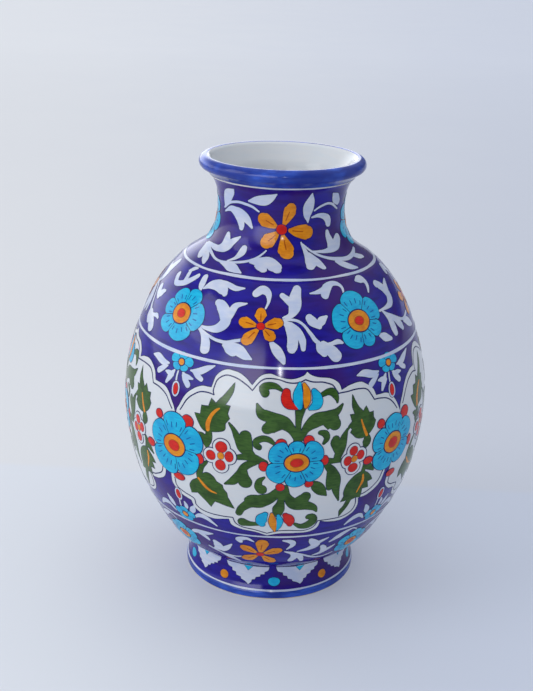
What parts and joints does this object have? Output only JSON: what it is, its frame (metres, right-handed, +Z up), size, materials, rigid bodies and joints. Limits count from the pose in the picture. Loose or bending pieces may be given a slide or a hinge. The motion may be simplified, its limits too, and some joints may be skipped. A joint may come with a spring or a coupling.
{
  "type": "vase",
  "caption": "Round-bellied glazed pottery vase on a foot ring, with a flared neck and rolled rim, hand-painted with flower panels and scrolls.",
  "frame": {"origin": "centre of the resting face of the foot ring", "axes": "+Z up along the axis of the vase, -Y towards the viewer, with the middle of one painted flower panel just right of -Y"},
  "size_m": [0.174, 0.174, 0.25],
  "materials": {
    "cobalt_glaze": "glossy clear glaze over brushed violet-cobalt underglaze, white glaze inside",
    "rim_blue_glaze": "glossy clear glaze over streaky mid-blue underglaze",
    "white_slip": "matt dried slip",
    "white_glaze": "glossy warm-white tin glaze of the panels, scrolls and the inside",
    "turquoise_glaze": "glossy turquoise flowers, brushed on in two strengths",
    "ochre_glaze": "glossy orange-yellow flowers and eyes",
    "red_glaze": "glossy red pips and berries",
    "green_glaze": "glossy olive-green leaves",
    "outline_glaze": "thin dark-blue brush lines under the clear glaze",
    "bare_clay": "unglazed pale clay of the resting foot"
  },
  "bodies": {
    "root": {"foot_ring": "cobalt_glaze", "lower_bowl": "cobalt_glaze", "upper_bowl": "cobalt_glaze", "neck_collar": "cobalt_glaze", "rim_roll": "rim_blue_glaze", "foot_seam_slip": "white_slip", "belly_seam_slip": "white_slip", "neck_seam_slip": "white_slip", "rim_seam_slip": "white_slip"}
  },
  "joints": []
}
